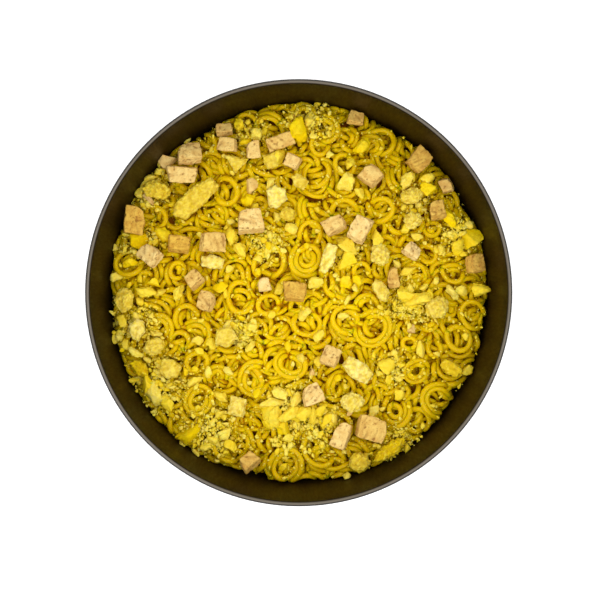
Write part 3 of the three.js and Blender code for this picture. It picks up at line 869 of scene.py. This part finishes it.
def strewn(count, anywhere):
    """Random places: a share of them anywhere on the heap, and the rest in the patches."""
    shares = np.array([patch[3] for patch in CRUMB_PATCHES], float)
    patch = np.array(CRUMB_PATCHES)[chance.choice(len(shares), count, p=shares / shares.sum())]
    x = patch[:, 0] * MM + chance.normal(0, 1, count) * patch[:, 2] * 0.5 * MM
    y = patch[:, 1] * MM + chance.normal(0, 1, count) * patch[:, 2] * 0.5 * MM
    free_x, free_y = places_anywhere(count)
    loose = chance.uniform(0, 1, count) < anywhere
    x, y = np.where(loose, free_x, x), np.where(loose, free_y, y)
    kept = np.hypot(x, y) < REACH + CRUMB_OVERREACH
    return x[kept], y[kept]


def crumb_stock(kinds, detail, rough):
    """A few broken shapes of unit size, with flat breaks all round: their vertices and faces."""
    stock = []
    for _ in range(kinds):
        bm = bmesh.new()
        bmesh.ops.create_icosphere(bm, subdivisions=detail, radius=1)
        shift = Vector(chance.uniform(0, 50, 3))
        breaks = [(Vector(chance.normal(0, 1, 3)).normalized(), chance.uniform(0.4, 0.75))
                  for _ in range(BREAKS)]
        for v in bm.verts:
            for facing, away in breaks:
                v.co -= facing * max(0.0, v.co.dot(facing) - away)
            v.co *= 1 + rough * (noise.noise(v.co * 1.6 + shift) + crags(v.co + shift, 0.45))
        bm.verts.index_update()
        points = np.array([v.co[:] for v in bm.verts])
        stock.append((points, [[v.index for v in face.verts] for face in bm.faces]))
        bm.free()
    return stock


def turned(points):
    """Points turned any way at random."""
    axes, _ = np.linalg.qr(chance.normal(0, 1, (3, 3)))
    return points @ (axes * np.sign(np.linalg.det(axes))).T


def tipped(points):
    """Points turned about the upright axis and tipped a little."""
    turn, tip = chance.uniform(0, 2 * math.pi), chance.normal(0, 0.35)
    x, y, z = points.T
    y, z = y * math.cos(tip) - z * math.sin(tip), y * math.sin(tip) + z * math.cos(tip)
    x, y = x * math.cos(turn) - y * math.sin(turn), x * math.sin(turn) + y * math.cos(turn)
    return np.stack([x, y, z], axis=1)


def strewn_parts(places, sizes, stock, tints, flattest=0.35):
    """Copies of the stock shapes, some lumpy and some flat, resting on the heap at the places.
    Each sits on all but the highest strands under it, a little sunk in between them."""
    parts = []
    for x, y, size, tint in zip(*places, sizes, tints):
        i, j = cell_of(np.array([x]), np.array([y]))
        if covered[i[0], j[0]] > 0:
            continue
        points, faces = stock[chance.integers(len(stock))]
        spans = (chance.uniform(0.9, 1.3), chance.uniform(0.6, 1.0), chance.uniform(flattest, 0.9))
        points = tipped(turned(points) * spans) * size / 2
        spread = int(0.3 * size / CELL)
        around = surface[i[0] - spread:i[0] + spread + 1, j[0] - spread:j[0] + spread + 1]
        rest = np.percentile(around, 85) - 0.45 * points[:, 2].min()
        points = held_in(points + [x, y, rest], WALL_CLEARANCE)
        # Painted shade: the tint is lowered where a piece lies deep among the strands and towards its
        # underside.
        low = 1 - (points[:, 2] - points[:, 2].min()) / np.ptp(points[:, 2])
        parts.append((points, faces, np.clip(tint - 0.35 * sunk(points) - 0.25 * low, 0, 1)))
    return parts


def placed_parts(listed, detail, rough, flattest):
    """Shapes in their own places, each (x, y, width, tint), in millimetres."""
    x, y, width, tints = np.array(listed).T
    stock = crumb_stock(9, detail, rough)
    return strewn_parts((x * MM, y * MM), WIDENING * width * MM, stock, 0.35 + 0.6 * tints, flattest)


def random_parts(count, anywhere, sizes, tints, stock):
    """Shapes strewn at random, whose sizes in millimetres come from sizes(count)."""
    places = strewn(count, anywhere)
    kept = len(places[0])
    return strewn_parts(places, sizes(kept) * MM, stock, chance.uniform(*tints, kept))


crumb_finish, tree, shader, place = finish("yellow crumbs", Roughness=0.9, Specular_IOR_Level=0.05,
                                           Subsurface_Weight=0.45, Subsurface_Radius=(1.0, 0.8, 0.3),
                                           Subsurface_Scale=0.6 * MM)
paleness = stored(tree, TINT)
# Tints below 0.35 come only from the painted shade on strewn pieces, and they run to a deep orange.
crumb_colour = blended(tree, ramp(tree, paleness, 0, 0.35), colour(220, 168, 0), colour(238, 207, 8))
crumb_colour = blended(tree, ramp(tree, paleness, 0.35, 1), crumb_colour, colour(242, 226, 112))
patches = ramp(tree, speckle(tree, place, 700, detail=4), 0.42, 0.68, 0, 0.6)
crumb_colour = blended(tree, patches, crumb_colour, colour(228, 192, 4))
tree.links.new(crumb_colour, shader.inputs["Base Color"])
bumped(tree, shader, speckle(tree, place, 1500, detail=5, roughness=0.75), 0.8, 0.35 * MM)

large = [chunk for chunk in SMALL_CHUNKS if chunk[2] > LARGE_WIDTH]
little = [chunk for chunk in SMALL_CHUNKS if chunk[2] <= LARGE_WIDTH]
small_parts = placed_parts(large, 4, 0.24, 0.6) + placed_parts(little, 3, 0.2, 0.6)
stock = crumb_stock(10, 3, 0.22)
small_parts += random_parts(110, 0.4, lambda n: chance.uniform(2.6, 4.4, n), (0.4, 0.9), stock)
add_piece("small_chunks", joined("small_chunks", small_parts), crumb_finish, "yellow_chunks")

scrap_parts = placed_parts(MEAT_SCRAPS, 4, 0.12, 0.7)
add_piece("meat_scraps", joined("meat_scraps", scrap_parts), meat_finish, "dried_meat")

stock = crumb_stock(14, 2, 0.25)
crumb_parts = random_parts(2300, 0.2, lambda n: 1.2 + chance.exponential(0.6, n), (0.45, 1.0), stock)
add_piece("crumbs", joined("crumbs", crumb_parts), crumb_finish, "yellow_chunks")

stock = crumb_stock(12, 1, 0.3)
crumb_parts = random_parts(7500, 0.25, lambda n: chance.uniform(0.5, 1.3, n), (0.45, 1.0), stock)
add_piece("fine_crumbs", joined("fine_crumbs", crumb_parts), crumb_finish, "yellow_chunks")


# ---------------------------------------------------------------------------
# Camera, light and floor. The camera looks straight down on the bowl, whose rim
# fills most of the picture. A large lamp hangs above on the right and a weaker
# one on the left, in a white room with a plain pale floor.

PICTURE_SIDE = 591  # in pixels, as the next three are
PICTURE_MIDDLE = (295, 295.5)
RIM_WIDTH = 428
BOWL_MIDDLE = (298.7, 292.7)
CAMERA_HEIGHT = 0.7  # above the rim, in metres
FLOOR_REACH = 6

per_pixel = 2 * RIM_RADIUS / RIM_WIDTH
camera_data = bpy.data.cameras.new("camera")
camera_data.sensor_width = 36
camera_data.lens = camera_data.sensor_width * CAMERA_HEIGHT / (PICTURE_SIDE * per_pixel)
camera = bpy.data.objects.new("camera", camera_data)
camera.location = ((PICTURE_MIDDLE[0] - BOWL_MIDDLE[0]) * per_pixel,
                   (BOWL_MIDDLE[1] - PICTURE_MIDDLE[1]) * per_pixel,
                   BOWL_HEIGHT + CAMERA_HEIGHT)
bpy.context.scene.collection.objects.link(camera)
bpy.context.scene.camera = camera

floor_mesh = bpy.data.meshes.new("floor")
bm = bmesh.new()
bmesh.ops.create_grid(bm, x_segments=1, y_segments=1, size=FLOOR_REACH)
bm.to_mesh(floor_mesh)
bm.free()
floor_finish, tree, shader, place = finish("pale floor", Roughness=0.9, Specular_IOR_Level=0.1)
shader.inputs["Base Color"].default_value = colour(250, 250, 250)
shader.inputs["Emission Color"].default_value = (1, 1, 1, 1)
shader.inputs["Emission Strength"].default_value = 0.35
floor_mesh.materials.append(floor_finish)
floor = bpy.data.objects.new("floor", floor_mesh)
bpy.context.scene.collection.objects.link(floor)


def soft_light(name, place, size, watts):
    """A round lamp, aimed at the middle of the bowl's foot."""
    data = bpy.data.lights.new(name, "AREA")
    data.shape = "DISK"
    data.size = size
    data.energy = watts
    light = bpy.data.objects.new(name, data)
    light.location = place
    light.rotation_euler = (-Vector(place)).to_track_quat("-Z", "Y").to_euler()
    bpy.context.scene.collection.objects.link(light)


soft_light("light_above", (0.55, -0.1, 1.7), size=1.0, watts=7.2)
soft_light("light_side", (-0.48, -0.4, 0.95), size=0.8, watts=3.2)
world = bpy.data.worlds.new("studio")
world.use_nodes = True
world.node_tree.nodes["Background"].inputs["Color"].default_value = (1, 1, 1, 1)
world.node_tree.nodes["Background"].inputs["Strength"].default_value = 1.05
bpy.context.scene.world = world
bpy.context.scene.view_settings.view_transform = "Standard"
